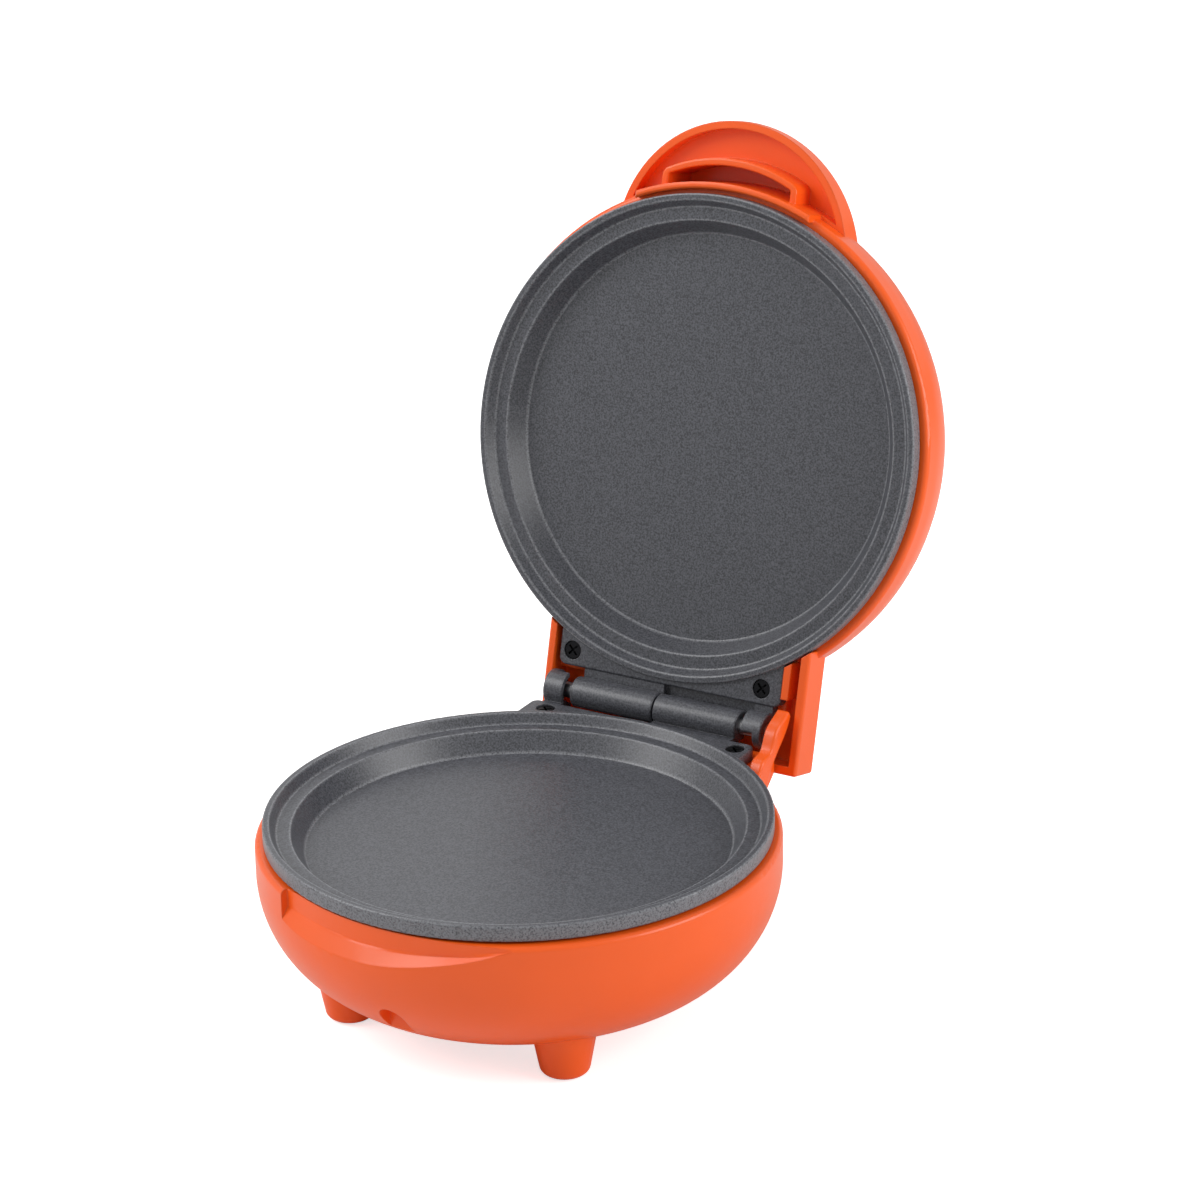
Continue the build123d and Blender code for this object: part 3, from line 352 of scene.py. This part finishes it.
class StageSettings(bpy.types.PropertyGroup):
    lens: FloatProperty(name="Lens", description="Focal length in millimetres", default=124.93, min=20)
    distance: length_of("Distance", "Camera to the point it looks at", 966.387)
    azimuth: angle_of("Azimuth", "Camera round the object", 30.339)
    elevation: angle_of("Elevation", "Camera above the table", 22.061)
    roll: angle_of("Roll", "Lean of the camera", -1.134)
    key: power_of("Key light", "Power of the large lamp at the left", 8.6)
    side: power_of("Side light", "Power of the lamp at the right", 4.5)
    top: power_of("Top light", "Power of the lamp behind the lid", 2.0)
    room: FloatProperty(name="Room light", description="Strength of the light all round", default=0.48, min=0)


# Pieces

class PANCAKE_OT_mouldings(bpy.types.Operator):
    """Finish the bowl-shaped base and the domed lid"""

    bl_idname = "pancake.mouldings"
    bl_label = "Orange mouldings"

    def execute(self, context):
        material = moulded_orange(context.scene.pancake_moulding)
        dress("base_housing", material)
        dress("lid_housing", material)
        return {"FINISHED"}


class PANCAKE_OT_cooking_plates(bpy.types.Operator):
    """Coat the two cooking plates"""

    bl_idname = "pancake.cooking_plates"
    bl_label = "Cooking plates"

    def execute(self, context):
        settings = context.scene.pancake_coating
        dress("lower_plate", nonstick_coating("lower_coating", settings, RIM_CENTRE, 0.0))
        dress("upper_plate", nonstick_coating("upper_coating", settings, LID_CENTRE, radians(180) - LEAN))
        return {"FINISHED"}


class PANCAKE_OT_hinge_and_screws(bpy.types.Operator):
    """Finish the hinge pins and all the screws"""

    bl_idname = "pancake.hinge_and_screws"
    bl_label = "Hinge pins and screws"

    def execute(self, context):
        black = drawn_metal("blackened_screws", srgb(34, 34, 36), 0.42)
        zinc = drawn_metal("zinc_plate", srgb(186, 187, 190), 0.3)
        for half in ("lower", "upper"):
            dress(half + "_plate_screws", black)
            dress(half + "_reflector_screws", zinc)
        for node in ("hinge_pins", "thermostat_screws", "fuse_clip"):
            dress(node, zinc)
        dress("terminal_screws", drawn_metal("terminal_brass", srgb(196, 158, 84), 0.3))
        return {"FINISHED"}


class PANCAKE_OT_heaters(bpy.types.Operator):
    """Finish the ring heaters, their beads and the reflectors"""

    bl_idname = "pancake.heaters"
    bl_label = "Heaters and reflectors"

    def execute(self, context):
        sheath = drawn_metal("heater_sheath", srgb(120, 112, 104), 0.45)
        sheet = drawn_metal("reflector_sheet", srgb(205, 206, 208), 0.22)
        bead = plain_part("ceramic_bead", srgb(232, 226, 212), 0.35)
        for half in ("lower", "upper"):
            dress(half + "_heater", sheath)
            dress(half + "_reflector", sheet)
            dress(half + "_heater_ends", bead)
        return {"FINISHED"}


class PANCAKE_OT_controls(bpy.types.Operator):
    """Finish the thermostat, the fuse and the terminal block"""

    bl_idname = "pancake.controls"
    bl_label = "Thermostat, fuse and terminals"

    def execute(self, context):
        dress("thermostat", plain_part("thermostat_body", srgb(96, 54, 36), 0.4))
        dress("thermal_fuse", drawn_metal("fuse_case", srgb(200, 200, 202), 0.3))
        dress("terminal_block", plain_part("terminal_ceramic", srgb(236, 232, 220), 0.4))
        return {"FINISHED"}


class PANCAKE_OT_wiring(bpy.types.Operator):
    """Finish the sleeved leads and the cord bush"""

    bl_idname = "pancake.wiring"
    bl_label = "Leads and cord bush"

    def execute(self, context):
        sleeve = plain_part("lead_sleeve", srgb(226, 222, 206), 0.6, 0.05 * MM)
        dress("base_leads", sleeve)
        dress("lid_leads", sleeve)
        dress("cord_bush", plain_part("black_bush", srgb(28, 28, 30), 0.45))
        return {"FINISHED"}


class PANCAKE_OT_feet(bpy.types.Operator):
    """Finish the rubber pads"""

    bl_idname = "pancake.feet"
    bl_label = "Foot pads"

    def execute(self, context):
        dress("foot_pads", plain_part("pad_rubber", srgb(36, 36, 37), 0.75, 0.03 * MM))
        return {"FINISHED"}


class PANCAKE_OT_indicator(bpy.types.Operator):
    """Finish the lamp and its lens"""

    bl_idname = "pancake.indicator"
    bl_label = "Indicator lamp"

    def execute(self, context):
        dress("indicator_lens", clear_piece("red_lens", srgb(176, 16, 14), 0.12))
        dress("indicator_lamp", clear_piece("lamp_glass", srgb(240, 210, 180), 0.08))
        return {"FINISHED"}


class PANCAKE_OT_stage(bpy.types.Operator):
    """Make the white table, the lamps and the camera"""

    bl_idname = "pancake.stage"
    bl_label = "Table, lamps and camera"

    def execute(self, context):
        settings = context.scene.pancake_stage
        white_table()
        room_light(settings.room)
        low, high = solid_box
        middle = (Vector(low) + Vector(high)) / 2
        for name, (size, place) in LAMPS.items():
            soft_lamp(name + "_lamp", getattr(settings, name), size, middle + Vector(place), middle)
        photo_camera(settings)
        context.scene.view_settings.view_transform = "Standard"
        return {"FINISHED"}


def white_table():
    """A wide table that reads white to the camera and keeps the object's shadow."""
    bpy.ops.mesh.primitive_plane_add(size=TABLE_SIZE, location=(0, 0, 0))
    table = bpy.context.object
    table.name = "table"
    finish = Finish("white_table")
    glow = finish.add("Emission", {}, {"Color": opaque((1, 1, 1)), "Strength": TABLE_GLOW})
    cloth = finish.add("BsdfDiffuse", {}, {"Color": opaque(TABLE_WHITE)})
    both = finish.add("AddShader", {}, {0: glow, 1: cloth})
    mixed = finish.add("MixShader", {}, {0: finish.seen_by("Is Camera Ray"), 1: cloth, 2: both})
    table.data.materials.append(finish.ended(mixed))


def room_light(strength):
    """Even light from all round, which reads white to the camera, in a gloss and through a clear piece."""
    finish = Finish("studio", bpy.data.worlds)
    seen = finish.seen_by("Is Camera Ray", "Is Glossy Ray", "Is Transmission Ray")
    amount = finish.add("MapRange", {}, {0: seen, 3: strength, 4: 1.0})
    light = finish.add("Background", {}, {"Strength": amount})
    bpy.context.scene.world = finish.ended(light, "OutputWorld")


def soft_lamp(name, power, size, place, aim):
    """A square lamp that faces a point."""
    lamp = bpy.data.lights.new(name, "AREA")
    lamp.shape = "SQUARE"
    lamp.size = size
    lamp.energy = power
    lamp_object = bpy.data.objects.new(name, lamp)
    lamp_object.location = place
    lamp_object.rotation_euler = (aim - place).to_track_quat("-Z", "Y").to_euler()
    bpy.context.scene.collection.objects.link(lamp_object)


def photo_camera(settings):
    """The camera where the photograph's perspective puts it."""
    turn, rise, roll = settings.azimuth, settings.elevation, settings.roll
    back = Vector((sin(turn) * cos(rise), -cos(turn) * cos(rise), sin(rise)))
    level = Vector((cos(turn), sin(turn), 0.0))
    upward = back.cross(level)
    right = level * cos(roll) + upward * sin(roll)
    top = upward * cos(roll) - level * sin(roll)
    camera_data = bpy.data.cameras.new("photo_camera")
    camera_data.lens = settings.lens
    camera_data.sensor_width = SENSOR_WIDTH
    camera_data.clip_end = SIGHT
    camera = bpy.data.objects.new("photo_camera", camera_data)
    place = CAMERA_AIM + back * settings.distance
    rows = [(right[i], top[i], back[i], place[i]) for i in range(3)]
    camera.matrix_world = Matrix(rows + [(0, 0, 0, 1)])
    bpy.context.scene.collection.objects.link(camera)
    bpy.context.scene.camera = camera


class PANCAKE_PT_finish(bpy.types.Panel):
    bl_label = "Pancake maker"
    bl_idname = "PANCAKE_PT_finish"
    bl_space_type = "VIEW_3D"
    bl_region_type = "UI"
    bl_category = "Pancake maker"

    def draw(self, context):
        for group in GROUPS:
            settings = getattr(context.scene, group)
            box = self.layout.box()
            for name in settings.__annotations__:
                box.prop(settings, name)
        for operator in OPERATORS:
            self.layout.operator(operator.bl_idname)


OPERATORS = (
    PANCAKE_OT_mouldings,
    PANCAKE_OT_cooking_plates,
    PANCAKE_OT_hinge_and_screws,
    PANCAKE_OT_heaters,
    PANCAKE_OT_controls,
    PANCAKE_OT_wiring,
    PANCAKE_OT_feet,
    PANCAKE_OT_indicator,
    PANCAKE_OT_stage,
)
GROUPS = {
    "pancake_moulding": MouldingSettings,
    "pancake_coating": CoatingSettings,
    "pancake_stage": StageSettings,
}


def register():
    for group in GROUPS.values():
        bpy.utils.register_class(group)
    for name, group in GROUPS.items():
        setattr(bpy.types.Scene, name, PointerProperty(type=group))
    for operator in OPERATORS:
        bpy.utils.register_class(operator)
    bpy.utils.register_class(PANCAKE_PT_finish)


def unregister():
    bpy.utils.unregister_class(PANCAKE_PT_finish)
    for operator in reversed(OPERATORS):
        bpy.utils.unregister_class(operator)
    for name, group in reversed(GROUPS.items()):
        delattr(bpy.types.Scene, name)
        bpy.utils.unregister_class(group)


def main():
    register()
    for operator in OPERATORS:
        group, action = operator.bl_idname.split(".")
        getattr(getattr(bpy.ops, group), action)()


if __name__ == "__main__":
    main()
